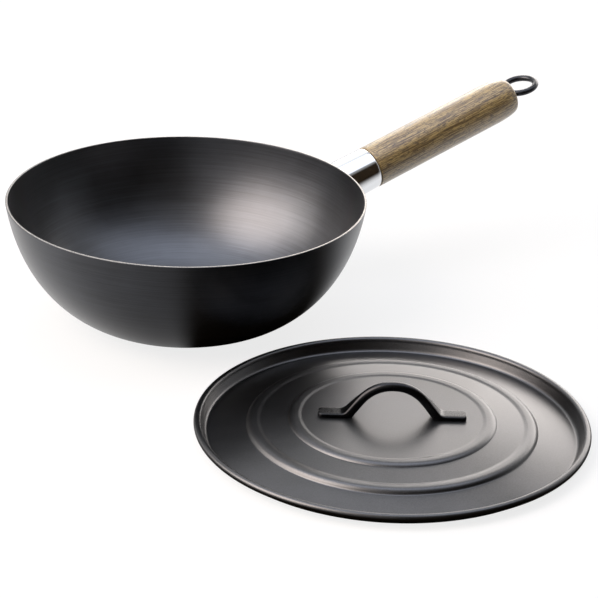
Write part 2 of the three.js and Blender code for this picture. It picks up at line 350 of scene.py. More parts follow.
# a finished mesh from points and faces, moved to its place
def buildMesh(name, vertices, faces, place, finish):
    mesh = bpy.data.meshes.new(name)
    mesh.from_pydata(vertices, [], faces)
    mesh.transform(place)
    mesh.materials.append(finishes[finish])
    finishMesh(mesh)
    return mesh


# new group with named inputs; each entry is a name and a socket type
def newTree(name, sockets):
    tree = bpy.data.node_groups.new(name, "GeometryNodeTree")
    tree.is_modifier = True
    for label, kind in sockets:
        tree.interface.new_socket(label, in_out="INPUT", socket_type=kind)
    tree.interface.new_socket("Piece", in_out="OUTPUT", socket_type="NodeSocketGeometry")
    return tree, tree.nodes.new("NodeGroupInput"), tree.nodes.new("NodeGroupOutput")


# runs a tree on a mesh and gives back the plain mesh, moved to its place and finished
def runTree(name, tree, mesh, values, place):
    maker = bpy.data.objects.new("maker", mesh)
    bpy.context.scene.collection.objects.link(maker)
    modifier = maker.modifiers.new("nodes", "NODES")
    modifier.node_group = tree
    for item in tree.interface.items_tree:
        if item.in_out == "INPUT" and item.name in values:
            modifier[item.identifier] = values[item.name]
    graph = bpy.context.evaluated_depsgraph_get()
    made = bpy.data.meshes.new_from_object(maker.evaluated_get(graph))
    maker.modifiers.remove(modifier)
    bpy.data.objects.remove(maker)
    made.name = name
    made.transform(place)
    finishMesh(made)
    return made


mergeDistance = 0.002 * millimetre  # closes the seam and the poles of a spun piece


# spinning: a profile of radius and height goes round the Z axis
def makeSpinTree():
    tree, given, result = newTree("spin_profile", [
        ("Profile", "NodeSocketGeometry"), ("Facets", "NodeSocketInt"),
        ("Face Finish", "NodeSocketMaterial"), ("Edge Finish", "NodeSocketMaterial")])
    profile = given.outputs["Profile"]
    count = addNode(tree, "GeometryNodeAttributeDomainSize", {"Geometry": profile})
    columns = addNode(tree, "ShaderNodeMath", {0: given.outputs["Facets"], 1: 1.0}, operation="ADD")
    grid = addNode(tree, "GeometryNodeMeshGrid", {
        "Size X": 1.0, "Size Y": 1.0, "Vertices X": columns,
        "Vertices Y": count.outputs["Point Count"]})
    # the grid's columns become angles and its rows the numbers of the profile's points
    position = addNode(tree, "GeometryNodeInputPosition")
    spot = addNode(tree, "ShaderNodeSeparateXYZ", {0: position})
    share = addNode(tree, "ShaderNodeMath", {0: spot.outputs["X"], 1: 0.5}, operation="ADD")
    angle = addNode(tree, "ShaderNodeMath", {0: share, 1: math.tau}, operation="MULTIPLY")
    cosine = addNode(tree, "ShaderNodeMath", {0: angle}, operation="COSINE")
    sine = addNode(tree, "ShaderNodeMath", {0: angle}, operation="SINE")
    last = addNode(tree, "ShaderNodeMath", {
        0: count.outputs["Point Count"], 1: 1.0}, operation="SUBTRACT")
    row = addNode(tree, "ShaderNodeMath", {0: spot.outputs["Y"], 1: 0.5}, operation="ADD")
    row = addNode(tree, "ShaderNodeMath", {0: row, 1: last}, operation="MULTIPLY")
    row = addNode(tree, "ShaderNodeMath", {0: row}, operation="ROUND")
    stores = {}
    for label in ("along", "edge"):
        stored = addNode(tree, "GeometryNodeInputNamedAttribute", {"Name": label}, data_type="FLOAT")
        stores[label] = addNode(tree, "GeometryNodeSampleIndex", {
            "Geometry": profile, "Value": stored, "Index": row}, data_type="FLOAT")
    outline = addNode(tree, "GeometryNodeSampleIndex", {
        "Geometry": profile, "Value": position, "Index": row}, data_type="FLOAT_VECTOR")
    section = addNode(tree, "ShaderNodeSeparateXYZ", {0: outline})
    radius = section.outputs["X"]
    x = addNode(tree, "ShaderNodeMath", {0: radius, 1: cosine}, operation="MULTIPLY")
    y = addNode(tree, "ShaderNodeMath", {0: radius, 1: sine}, operation="MULTIPLY")
    point = addNode(tree, "ShaderNodeCombineXYZ", {0: x, 1: y, 2: section.outputs["Z"]})
    # lathe holds the way along the profile and the angle, for the hairlines
    lathe = addNode(tree, "ShaderNodeCombineXYZ", {0: stores["along"], 1: cosine, 2: sine})
    kept = addNode(tree, "GeometryNodeStoreNamedAttribute", {
        "Geometry": grid, "Name": "lathe", "Value": lathe}, data_type="FLOAT_VECTOR")
    kept = addNode(tree, "GeometryNodeStoreNamedAttribute", {
        "Geometry": kept, "Name": "edge", "Value": stores["edge"]}, data_type="FLOAT")
    placed = addNode(tree, "GeometryNodeSetPosition", {"Geometry": kept, "Position": point})
    closed = addNode(tree, "GeometryNodeMergeByDistance", {"Geometry": placed, "Distance": mergeDistance})
    # points marked edge take the lighter edge finish, a painted highlight along the rim
    isEdge = addNode(tree, "GeometryNodeInputNamedAttribute", {"Name": "edge"}, data_type="FLOAT")
    ground = addNode(tree, "ShaderNodeMath", {0: isEdge, 1: 0.5}, operation="GREATER_THAN")
    real = addNode(tree, "GeometryNodeRealizeInstances", {"Geometry": closed})
    faced = addNode(tree, "GeometryNodeSetMaterial", {
        "Geometry": real, "Material": given.outputs["Face Finish"]})
    edged = addNode(tree, "GeometryNodeSetMaterial", {
        "Geometry": faced, "Selection": ground, "Material": given.outputs["Edge Finish"]})
    setInputs(tree, result, {0: edged})
    return tree


spinTree = makeSpinTree()


# spins a list of (radius, height) and moves it to its place; the points listed last get the lighter edge
# finish, a painted highlight
def spinProfile(name, points, facets, place, faceFinish, edgeHighlightFinish=None, highlightPoints=()):
    mesh = bpy.data.meshes.new(name)
    mesh.from_pydata([(r, 0, z) for r, z in points], [(i, i + 1) for i in range(len(points) - 1)], [])
    along = mesh.attributes.new("along", "FLOAT", "POINT")
    edge = mesh.attributes.new("edge", "FLOAT", "POINT")
    walked = 0.0
    for i, here in enumerate(points):
        walked += math.dist(here, points[max(i - 1, 0)])
        along.data[i].value = walked
        edge.data[i].value = 1.0 if i in highlightPoints else 0.0
    return runTree(name, spinTree, mesh, {
        "Facets": facets, "Face Finish": finishes[faceFinish],
        "Edge Finish": finishes[edgeHighlightFinish or faceFinish]}, place)


# a point on a cubic curve with its direction
def curvePoint(a, b, c, d, t):
    u = 1 - t
    spot, way = [], []
    for p, q, r, s in zip(a, b, c, d):
        spot.append(u ** 3 * p + 3 * u * u * t * q + 3 * u * t * t * r + t ** 3 * s)
        way.append(u * u * (q - p) + 2 * u * t * (r - q) + t * t * (s - r))
    size = math.hypot(*way)
    return tuple(spot), (way[0] / size, way[1] / size)


# round stretch of a profile; angles in degrees
def arc(centre, radius, first, last, steps):
    angles = [math.radians(first + (last - first) * i / steps) for i in range(steps + 1)]
    return [(centre[0] + radius * math.cos(a), centre[1] + radius * math.sin(a)) for a in angles]


# rises softly from 0 at low to 1 at high
def smoothStep(value, low, high):
    t = min(max((value - low) / (high - low), 0), 1)
    return t * t * (3 - 2 * t)


# bowl: flat base, one curved wall, and a rim whose flat face is drawn in lighter steel, a painted
# highlight
bowl = {
    "rimRadius": 130 * millimetre,
    "height": 90.7 * millimetre,
    "baseRadius": 52 * millimetre,
    "wall": 1.6 * millimetre,
    "rimLean": 8.6,
    "baseBlend": 23.3 * millimetre,
    "rimBlend": 68.2 * millimetre,
    "rimEase": 0.35 * millimetre,
    "baseSteps": 12,
    "wallSteps": 90,
    "rimSteps": 5,
    "facets": 288,
}


# a point on the wall's outside, from 0 at the base to 1 at the rim, with its direction
def bowlWall(t):
    lean = math.radians(bowl["rimLean"])
    rim = (bowl["rimRadius"], bowl["height"])
    pull = (rim[0] - math.sin(lean) * bowl["rimBlend"], rim[1] - math.cos(lean) * bowl["rimBlend"])
    return curvePoint((bowl["baseRadius"], 0), (bowl["baseRadius"] + bowl["baseBlend"], 0), pull, rim, t)


def makeBowl():
    outside, inside = [], []
    for i in range(bowl["baseSteps"]):
        radius = bowl["baseRadius"] * i / bowl["baseSteps"]
        outside.append((radius, 0))
        inside.append((radius, bowl["wall"]))
    for i in range(bowl["wallSteps"] + 1):
        (r, z), (dr, dz) = bowlWall(i / bowl["wallSteps"])
        outside.append((r, z))
        inside.append((r - dz * bowl["wall"], z + dr * bowl["wall"]))
    # the rim: eased corners and a flat face across the sheet, drawn in the lighter steel of the painted
    # highlight
    lean, ease, steps = bowl["rimLean"], bowl["rimEase"], bowl["rimSteps"]
    (r, z), (dr, dz) = bowlWall(1)
    rIn, zIn = inside[-1]
    across = (-dz, dr)
    outer = (r - dr * ease + across[0] * ease, z - dz * ease + across[1] * ease)
    inner = (rIn - dr * ease - across[0] * ease, zIn - dz * ease - across[1] * ease)
    top = arc(outer, ease, -lean, 90 - lean, steps) + arc(inner, ease, 90 - lean, 180 - lean, steps)
    points = outside[:-1] + top + inside[:-1][::-1]
    firstHighlight = len(outside) - 1 + steps
    return spinProfile("wok_bowl_spun", points, bowl["facets"], Matrix(), "bluedSteel",
                       "rimHighlightSteel", (firstHighlight, firstHighlight + 1))


addPiece("wok_bowl_spun", makeBowl(), "wok", "bowl_iron", "wok_bowl")

# socket: tube that widens towards the bowl and is cut to the bowl's curve
socket = {
    "radius": 16.1 * millimetre,
    "taper": 0.026,
    "wall": 1.2 * millimetre,
    "length": 36.2 * millimetre,
    "ease": 0.8 * millimetre,
    "fit": 0.05 * millimetre,
    "tubeSteps": 16,
    "easeSteps": 8,
    "facets": 144,
}
socketEnd = handle["root"] + socket["length"]
halvings = 40


# halves a stretch again and again to find where the test turns from true to false
def findTurn(low, high, isBefore):
    for _ in range(halvings):
        middle = (low + high) / 2
        if isBefore(middle):
            low = middle
        else:
            high = middle
    return high


# outside radius of the bowl at a height
def bowlRadius(z):
    return bowlWall(findTurn(0.0, 1.0, lambda t: bowlWall(t)[0][1] < z))[0][0]


# outside radius of the socket at a distance along the handle
def tubeRadius(s):
    return socket["radius"] + socket["taper"] * (socketEnd - s)


# a point on the socket's wall, as deep in it as the inset
def tubePoint(angle, s, inset=0):
    radius = tubeRadius(s) - inset
    return alongHandle @ Vector((radius * math.cos(angle), radius * math.sin(angle), s))


# distance along the handle where a line on the socket's wall meets the bowl
def meetBowl(angle, inset=0):
    def isInBowl(s):
        spot = tubePoint(angle, s, inset)
        return math.hypot(spot.x, spot.y) < bowlRadius(spot.z) + socket["fit"]

    return findTurn(bowl["baseRadius"], socketEnd, isInBowl)


# section of the tube at one angle: out along its outside, over the eased end and back inside
def socketLine(angle):
    line = []
    ease, steps = socket["ease"], socket["tubeSteps"]
    for inset, order in ((0, 1), (socket["wall"], -1)):
        start = meetBowl(angle, inset)
        stop = socketEnd - (ease if inset == 0 else 0)
        side = []
        for i in range(steps + 1):
            s = start + (stop - start) * i / steps
            side.append((tubeRadius(s) - inset, s))
        if inset == 0:
            side += arc((socket["radius"] - ease, stop), ease, 0, 90, socket["easeSteps"])[1:]
        line += side[::order]
    return line


def makeSocket():
    vertices, faces = [], []
    for k in range(socket["facets"]):
        angle = math.tau * k / socket["facets"]
        line = socketLine(angle)
        vertices += [(r * math.cos(angle), r * math.sin(angle), s) for r, s in line]
    rows = len(line)
    for k in range(socket["facets"]):
        here, after = k * rows, (k + 1) % socket["facets"] * rows
        for i in range(rows):
            j = (i + 1) % rows
            faces.append((here + i, after + i, after + j, here + j))
    return buildMesh("handle_socket_tube", vertices, faces, alongHandle, "chrome")


addPiece("handle_socket_tube", makeSocket(), "wok", "socket_chrome", "handle_socket")

# grip: tenon in the socket, straight body, eased end with a recess round the bored hole
grip = {
    "step": 0.2 * millimetre,
    "gap": 0.8 * millimetre,
    "length": 137.9 * millimetre,
    "endRound": 20 * millimetre,
    "endDrop": 2.6 * millimetre,
    "chamfer": 0.8 * millimetre,
    "tenonLength": 17.9 * millimetre,
    "clearance": 0.3 * millimetre,
    "recess": 8.8 * millimetre,
    "recessDepth": 2.6 * millimetre,
    "lip": 0.4 * millimetre,
    "bore": 2.7 * millimetre,
    "steps": {"tenon": 4, "shoulder": 6, "body": 48, "end": 24, "lip": 5},
    "facets": 128,
}
gripStart = socketEnd + grip["gap"]
gripEnd = gripStart + grip["length"]


def makeGrip():
    radius = socket["radius"] + grip["step"]
    tenon = socket["radius"] - socket["wall"] - grip["clearance"]
    tip = gripStart - grip["tenonLength"]
    ease, lip, steps = grip["chamfer"], grip["lip"], grip["steps"]
    points = [(grip["bore"], tip)]
    points += arc((tenon - ease, tip + ease), ease, -90, 0, steps["tenon"])
    points += [(tenon, gripStart - ease), (tenon, gripStart), (tenon + ease / 2, gripStart)]
    points += arc((radius - ease, gripStart + ease), ease, -90, 0, steps["shoulder"])
    straight = grip["length"] - grip["endRound"] - ease
    for i in range(1, steps["body"]):
        points.append((radius, gripStart + ease + straight * i / steps["body"]))
    for i in range(steps["end"] + 1):
        a = math.pi / 2 * i / steps["end"]
        drop = grip["endDrop"] * (1 - math.cos(a))
        points.append((radius - drop, gripEnd - grip["endRound"] * (1 - math.sin(a))))
    bottom = gripEnd - grip["recessDepth"]
    points += arc((grip["recess"] + lip, gripEnd - lip), lip, 90, 180, steps["lip"])
    points += [(grip["recess"], bottom), (grip["bore"], bottom), points[0]]
    return spinProfile("wood_grip_turned", points, grip["facets"], alongHandle, "hardwood")


addPiece("wood_grip_turned", makeGrip(), "wok", "grip_wood", "wood_grip")

# rod with its hanging ring; the ring stands clear above the rod's line
eye = {
    "rodRadius": 2.4 * millimetre,
    "rodTip": 141 * millimetre,
    "ringRadius": 12.5 * millimetre,
    "ringRise": 2.6 * millimetre,
    "ringSink": 0.8 * millimetre,
    "ringFacets": 128,
    "sides": 32,
}
ringCentre = gripEnd - eye["ringSink"] + eye["rodRadius"] + eye["ringRadius"]


# ring and rod as swept circles, joined into one body
def makeEyeTree():
    tree, given, result = newTree("eye_rod", [
        ("Geometry", "NodeSocketGeometry"), ("Rod Radius", "NodeSocketFloat"),
        ("Ring Radius", "NodeSocketFloat"), ("Rod Start", "NodeSocketVector"),
        ("Rod End", "NodeSocketVector"), ("Ring Centre", "NodeSocketVector"),
        ("Ring Facets", "NodeSocketInt"), ("Sides", "NodeSocketInt"), ("Finish", "NodeSocketMaterial")])
    circle = addNode(tree, "GeometryNodeCurvePrimitiveCircle", {
        "Resolution": given.outputs["Sides"], "Radius": given.outputs["Rod Radius"]})
    loop = addNode(tree, "GeometryNodeCurvePrimitiveCircle", {
        "Resolution": given.outputs["Ring Facets"], "Radius": given.outputs["Ring Radius"]})
    ring = addNode(tree, "GeometryNodeCurveToMesh", {
        "Curve": loop, "Profile Curve": circle})
    ring = addNode(tree, "GeometryNodeTransform", {
        "Geometry": ring, "Translation": given.outputs["Ring Centre"],
        "Rotation": (0, math.pi / 2, 0)})
    shaft = addNode(tree, "GeometryNodeCurvePrimitiveLine", {
        "Start": given.outputs["Rod Start"], "End": given.outputs["Rod End"]})
    rod = addNode(tree, "GeometryNodeCurveToMesh", {
        "Curve": shaft, "Profile Curve": circle, "Fill Caps": True})
    joined = addNode(tree, "GeometryNodeMeshBoolean", operation="UNION", solver="EXACT")
    for solid in (ring, rod):
        tree.links.new(solid.outputs[0], joined.inputs["Mesh 2"])
    real = addNode(tree, "GeometryNodeRealizeInstances", {"Geometry": joined})
    finished = addNode(tree, "GeometryNodeSetMaterial", {
        "Geometry": real, "Material": given.outputs["Finish"]})
    setInputs(tree, result, {0: finished})
    return tree


def makeEyeRod():
    rodEnd = ringCentre - eye["ringRadius"] + eye["rodRadius"] / 2  # inside the ring's bar
    return runTree("eye_rod_bent", makeEyeTree(), bpy.data.meshes.new("eye_start"), {
        "Rod Radius": eye["rodRadius"], "Ring Radius": eye["ringRadius"],
        "Rod Start": (0, 0, eye["rodTip"]), "Rod End": (0, 0, rodEnd),
        "Ring Centre": (-eye["ringRise"], 0, ringCentre), "Ring Facets": eye["ringFacets"],
        "Sides": eye["sides"], "Finish": finishes["blackWire"]}, alongHandle)


addPiece("eye_rod_bent", makeEyeRod(), "wok", "black_wire", "eye_rod")

# washer that the ring is drawn against
washer = {
    "radius": 7.5 * millimetre,
    "thickness": 1.2 * millimetre,
    "ease": 0.25 * millimetre,
    "easeSteps": 4,
    "facets": 96,
}


def makeWasher():
    ease = washer["ease"]
    top = gripEnd - eye["ringSink"] - grip["clearance"]
    low = top - washer["thickness"]
    outer, inner = washer["radius"] - ease, grip["bore"] + ease
    corners = ((outer, low + ease), (outer, top - ease), (inner, top - ease), (inner, low + ease))
    points = []
    for i, corner in enumerate(corners):
        points += arc(corner, ease, 90 * i - 90, 90 * i, washer["easeSteps"])
    points.append(points[0])
    return spinProfile("end_washer_turned", points, washer["facets"], alongHandle, "plainSteel")


addPiece("end_washer_turned", makeWasher(), "wok", "plain_steel", "end_washer")

# weld: overlapping ripples laid along the corner of bowl and socket
weld = {
    "radius": 1.7 * millimetre,
    "span": 240,
    "ripples": 64,
    "overlap": 1.5,
    "wobble": ((0.9, 0.9, 0.9), (1.08, 1.08, 1.1)),  # least and most of a ripple's own size
    "ballFaces": (14, 9),
    "pathSteps": 60,
    "seed": 7,
}


def makeWeldTree():
    tree, given, result = newTree("weld_ripples", [
        ("Path", "NodeSocketGeometry"), ("Ripples", "NodeSocketInt"), ("Radius", "NodeSocketFloat"),
        ("Length", "NodeSocketFloat"), ("Finish", "NodeSocketMaterial")])
    seam = addNode(tree, "GeometryNodeMeshToCurve", {"Mesh": given.outputs["Path"]})
    points = addNode(tree, "GeometryNodeCurveToPoints", {
        "Curve": seam, "Count": given.outputs["Ripples"]}, mode="COUNT")
    size = addNode(tree, "ShaderNodeCombineXYZ", {
        0: given.outputs["Radius"], 1: given.outputs["Radius"], 2: given.outputs["Length"]})
    least, most = weld["wobble"]
    wobble = addNode(tree, "FunctionNodeRandomValue", {
        "Min": least, "Max": most, "Seed": weld["seed"]}, data_type="FLOAT_VECTOR")
    uneven = addNode(tree, "ShaderNodeVectorMath", {
        0: size, 1: wobble.outputs["Value"]}, operation="MULTIPLY")
    segments, rings = weld["ballFaces"]
    ball = addNode(tree, "GeometryNodeMeshUVSphere", {
        "Segments": segments, "Rings": rings, "Radius": 1.0})
    laid = addNode(tree, "GeometryNodeInstanceOnPoints", {
        "Points": points.outputs["Points"], "Instance": ball,
        "Rotation": points.outputs["Rotation"], "Scale": uneven})
    real = addNode(tree, "GeometryNodeRealizeInstances", {"Geometry": laid})
    finished = addNode(tree, "GeometryNodeSetMaterial", {
        "Geometry": real, "Material": given.outputs["Finish"]})
    setInputs(tree, result, {0: finished})
    return tree


def makeWeld():
    steps, span = weld["pathSteps"], weld["span"]
    seam = []
    for i in range(steps + 1):
        angle = math.radians(-span / 2 + span * i / steps)
        seam.append(tubePoint(angle, meetBowl(angle)))
    path = bpy.data.meshes.new("weld_path")
    path.from_pydata(seam, [(i, i + 1) for i in range(steps)], [])
    length = sum((b - a).length for a, b in zip(seam, seam[1:]))
    return runTree("socket_weld_ripples", makeWeldTree(), path, {
        "Ripples": weld["ripples"], "Radius": weld["radius"],
        "Length": length / weld["ripples"] * weld["overlap"], "Finish": finishes["bluedSteel"]}, Matrix())


addPiece("socket_weld_ripples", makeWeld(), "wok", "bowl_iron", "socket_weld")

# lid: rolled edge, gutter and two cones with a pressed ridge each, spun about its own axis
lid = {
    "radius": 131.2 * millimetre,
    "turn": -36,
    "sheet": 1 * millimetre,
    "curlRadius": 2.5 * millimetre,
    "curlRise": 6.5 * millimetre,
    "curlEnd": -120,
    "gutterRadius": 122.6 * millimetre,
    "gutterFillet": 1.6 * millimetre,
    "filletRise": 1.4,  # height of the fillet's outer end, in fillets
    "coneSlopes": (0.18, 0.1),
    "ridgeFeet": (96.55 * millimetre, 69.2 * millimetre),
    "ridgeRises": (3.3 * millimetre, 2.1 * millimetre),
    "ridgeFace": 6.6 * millimetre,
    "ridgeBack": 3.2 * millimetre,
    "ridgeFall": 0.4 * millimetre,
    "ridgeCrown": 4,  # more makes a ridge's foot steeper and its top flatter
    "ridgeZone": (-1, 2),  # fine steps from one face before a ridge's foot to two behind it
    "ridgeStep": 0.45 * millimetre,
    "plainStep": 1.5 * millimetre,
    "filletSteps": 16,
    "wallSteps": 5,
    "curlSteps": 36,
    "facets": 240,
}
lidLow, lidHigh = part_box("lid_plate")
lidMiddle = (lidLow + lidHigh) / 2


# height of the plate's upper face above the gutter: each ridge has a steep foot and a rounded top
def plateHeight(radius):
    height, start = 0.0, lid["gutterRadius"]
    for slope, foot, rise in zip(lid["coneSlopes"], lid["ridgeFeet"], lid["ridgeRises"]):
        height += slope * (start - min(max(radius, foot), start))
        climb = min(max((foot - radius) / lid["ridgeFace"], 0), 1)
        start = foot - lid["ridgeFace"] - lid["ridgeBack"]
        fall = 1 - smoothStep(radius, start, foot - lid["ridgeFace"])
        height += rise * (1 - (1 - climb) ** lid["ridgeCrown"]) - lid["ridgeFall"] * fall
    return height


# upper face of the sheet from the centre out and round the rolled edge
def lidLine():
    fillet, gutter = lid["gutterFillet"], lid["gutterRadius"]
    before, behind = lid["ridgeZone"]
    line, radius = [], 0.0
    while radius < gutter - fillet:
        line.append((radius, plateHeight(radius)))
        ridge = any(before < (foot - radius) / lid["ridgeFace"] < behind for foot in lid["ridgeFeet"])
        radius += lid["ridgeStep"] if ridge else lid["plainStep"]
    curlCentre = lid["radius"] - lid["curlRadius"]
    start = (gutter - fillet, plateHeight(gutter - fillet))
    stop = (gutter + fillet, fillet * lid["filletRise"])
    curlStart = (curlCentre - lid["curlRadius"], lid["curlRise"])
    run, climb = curlStart[0] - stop[0], curlStart[1] - stop[1]
    wall = math.atan2(climb, run)
    pulls = ((start[0] + fillet, start[1] - lid["coneSlopes"][0] * fillet),
             (stop[0] - fillet * math.cos(wall), stop[1] - fillet * math.sin(wall)))
    steps = lid["filletSteps"]
    line += [curvePoint(start, *pulls, stop, i / steps)[0] for i in range(steps + 1)]
    steps = lid["wallSteps"]
    line += [(stop[0] + run * i / steps, stop[1] + climb * i / steps) for i in range(1, steps)]
    middle = (curlCentre, lid["curlRise"])
    return line + arc(middle, lid["curlRadius"], 180, lid["curlEnd"], lid["curlSteps"])


# a line moved sideways by a distance, to its left when positive
def offsetLine(line, distance):
    moved = []
    for i, here in enumerate(line):
        before, after = line[max(i - 1, 0)], line[min(i + 1, len(line) - 1)]
        way = (after[0] - before[0], after[1] - before[1]) if here[0] else (1, 0)
        size = math.hypot(*way)
        moved.append((here[0] - way[1] / size * distance, here[1] + way[0] / size * distance))
    return moved


lidUpper = lidLine()
lidLower = offsetLine(lidUpper, -lid["sheet"])
lidLift = -min(z for r, z in lidLower)
lidTurn = Matrix.Rotation(math.radians(lid["turn"]), 4, "Z")
atLid = Matrix.Translation((lidMiddle.x, lidMiddle.y, lidLift)) @ lidTurn
lidMesh = spinProfile("lid_plate_spun", lidLower + lidUpper[::-1], lid["facets"], atLid, "blackSheet")
addPiece("lid_plate_spun", lidMesh, "lid", "lid_steel", "lid_plate")

# lid handle: an arched round bar, flattened at its feet to a tab at each end
bar = {
    "width": 6.4 * millimetre,
    "depth": 6.2 * millimetre,
    "squareness": (2.2, 5),  # of bar and tab; 2 makes the section an ellipse
    "flatFrom": 20 * millimetre,
    "archHalf": 32.4 * millimetre,
    "archRise": 24.6 * millimetre,
    "archLean": 50,
    "crownPull": 16 * millimetre,
    "legPull": 12.5 * millimetre,
    "kneeBend": 2.5 * millimetre,
    "tabWidth": 11.2 * millimetre,
    "tabThickness": 2.8 * millimetre,
    "tabLength": 13.9 * millimetre,
    "tabCorner": 2.5 * millimetre,
    "tabEase": 0.5 * millimetre,
    "seat": 0.05 * millimetre,
    "steps": {"arch": 40, "knee": 12, "tab": 6, "tip": 18},
    "sides": 48,
}


# upper line in the side view, from the crown out to where a tab's corners start
def barLine(seat):
    steps = bar["steps"]
    tab = seat + bar["tabThickness"]
    crown = (0, plateHeight(0) + bar["archRise"])
    crownPull = (bar["crownPull"], crown[1])
    lean = math.radians(bar["archLean"])
    way = (math.cos(lean), -math.sin(lean))
    knee = (bar["archHalf"], tab)
    legEnd = (knee[0] - way[0] * bar["kneeBend"], knee[1] - way[1] * bar["kneeBend"])
    legPull = (legEnd[0] - way[0] * bar["legPull"], legEnd[1] - way[1] * bar["legPull"])
    line = []
    for i in range(steps["arch"] + 1):
        line.append(curvePoint(crown, crownPull, legPull, legEnd, i / steps["arch"])[0])
    after = (knee[0] + bar["kneeBend"], tab)
    for i in range(1, steps["knee"] + 1):
        t = i / steps["knee"]
        ends = zip(legEnd, knee, after)
        line.append(tuple((1 - t) ** 2 * a + 2 * t * (1 - t) * b + t * t * c for a, b, c in ends))
    straight = bar["tabLength"] - bar["tabCorner"]
    return line + [(after[0] + straight * i / steps["tab"], tab) for i in range(1, steps["tab"] + 1)]


# sections from one tab's tip to the other's: middle, direction, half width, half depth, squareness
def barSections():
    seat = plateHeight(0) + bar["seat"]
    line = barLine(seat)
    barSquare, tabSquare = bar["squareness"]
    sections = []
    for i, (x, z) in enumerate(line):
        after, before = line[min(i + 1, len(line) - 1)], line[max(i - 1, 0)]
        way = Vector((after[0] - before[0], after[1] - before[1])).normalized() if i else Vector((1, 0))
        deep = min(bar["depth"], (z - seat) / way.x) / 2
        flat = smoothStep(x, bar["flatFrom"], bar["archHalf"])
        wide = bar["width"] + (bar["tabWidth"] - bar["width"]) * flat
        square = barSquare + (tabSquare - barSquare) * flat
        sections.append((x + way.y * deep, z - way.x * deep, way.x, way.y, wide / 2, deep, square))
    # the tab's tip: round corners seen from above, and an eased edge
    x, z, wayX, wayZ, wide, deep, square = sections[-1]
    corner, edge, steps = bar["tabCorner"], bar["tabEase"], bar["steps"]["tip"]
    for i in range(1, steps + 1):
        a = math.pi / 2 * i / steps
        left = corner * (1 - math.sin(a))
        ease = max(1 - left / edge, 0)
        sections.append((x + corner * math.sin(a), z, wayX, wayZ, wide - corner * (1 - math.cos(a)),
                         deep - edge * (1 - math.sqrt(1 - ease * ease)), square))
    mirrored = [(-x, z, wayX, -wayZ, *rest) for x, z, wayX, wayZ, *rest in sections[:0:-1]]
    return mirrored + sections


def makeBar():
    vertices, faces = [], []
    sections, count = barSections(), bar["sides"]
    for x, z, wayX, wayZ, wide, deep, square in sections:
        for k in range(count):
            c, s = math.cos(math.tau * k / count), math.sin(math.tau * k / count)
            side = math.copysign(abs(c) ** (2 / square), c) * wide
            up = math.copysign(abs(s) ** (2 / square), s) * deep
            vertices.append((x - wayZ * up, side, z + wayX * up))
    for k in range(len(sections) - 1):
        here, after = k * count, (k + 1) * count
        for i in range(count):
            j = (i + 1) % count
            faces.append((here + i, here + j, after + j, after + i))
    faces.append(tuple(range(count)))
    faces.append(tuple(range((len(sections) - 1) * count, len(sections) * count)))
    return buildMesh("lid_handle_bar", vertices, faces, atLid, "blackBar")


addPiece("lid_handle_bar", makeBar(), "lid", "lid_steel", "lid_handle")

# pieces hidden in the socket keep their shape and get the plain steel
for name in ("anchor_plate", "anchor_nut"):
    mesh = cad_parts[name].data
    mesh.materials.clear()
    mesh.materials.append(finishes["plainSteel"])
print("hidden steel pieces finished")

# camera: the photograph's place, tilt and lens
view = {
    "place": (-0.8172, -1.2658, 0.6767),
    "forward": (0.5378, 0.7401, -0.4037),
    "roll": 1.569,
    "lens": 134.58,
    "sensor": 36,
    "nearest": 0.05,
}
viewAcross = Vector((view["forward"][1], -view["forward"][0], 0)).normalized()
viewAway = Vector((view["forward"][0], view["forward"][1], 0)).normalized()


def makeCamera():
    camera = bpy.data.objects.new("camera", bpy.data.cameras.new("camera"))
    bpy.context.scene.collection.objects.link(camera)
    back = -Vector(view["forward"]).normalized()
    right = Vector((0, 0, 1)).cross(back).normalized()
    up = back.cross(right)
    level = Matrix((right, up, back)).transposed().to_4x4()
    roll = Matrix.Rotation(math.radians(view["roll"]), 4, "Z")
    camera.matrix_world = Matrix.Translation(view["place"]) @ level @ roll
    camera.data.lens = view["lens"]
    camera.data.sensor_width = view["sensor"]
    camera.data.clip_start = view["nearest"]
    bpy.context.scene.camera = camera


makeCamera()
print("camera placed:", view["lens"], "mm lens")


# direction by the photograph's own compass: 0 is away from the camera, 90 is to the right
def compass(azimuth, height=0):
    a, e = math.radians(azimuth), math.radians(height)
    return (viewAway * math.cos(a) + viewAcross * math.sin(a)) * math.cos(e) + Vector((0, 0, math.sin(e)))


# 1 for the rays that see the background: from the camera, and by gloss or through glass
def seenRays(tree):
    rays = addNode(tree, "ShaderNodeLightPath")
    either = addNode(tree, "ShaderNodeMath", {
        0: rays.outputs["Is Camera Ray"], 1: rays.outputs["Is Glossy Ray"]}, operation="MAXIMUM")
    return addNode(tree, "ShaderNodeMath", {
        0: either, 1: rays.outputs["Is Transmission Ray"]}, operation="MAXIMUM")


# an object of the studio with an empty material, which is not part of the wok
def addStage(name, mesh, materialName):
    material = bpy.data.materials.new(materialName)
    material.use_nodes = True
    material.node_tree.nodes.clear()
    mesh.materials.append(material)
    stage = bpy.data.objects.new(name, mesh)
    bpy.context.scene.collection.objects.link(stage)
    return stage, material.node_tree


# floor: white paper that keeps the shadow and looks nearly white to camera and gloss
floor = {
    "colour": "#dcdcdc",
    "glow": "#ffffff",
    "glowShare": 0.8,
    "radius": 30,
    "sides": 96,
    "drop": 0.05 * millimetre,
}


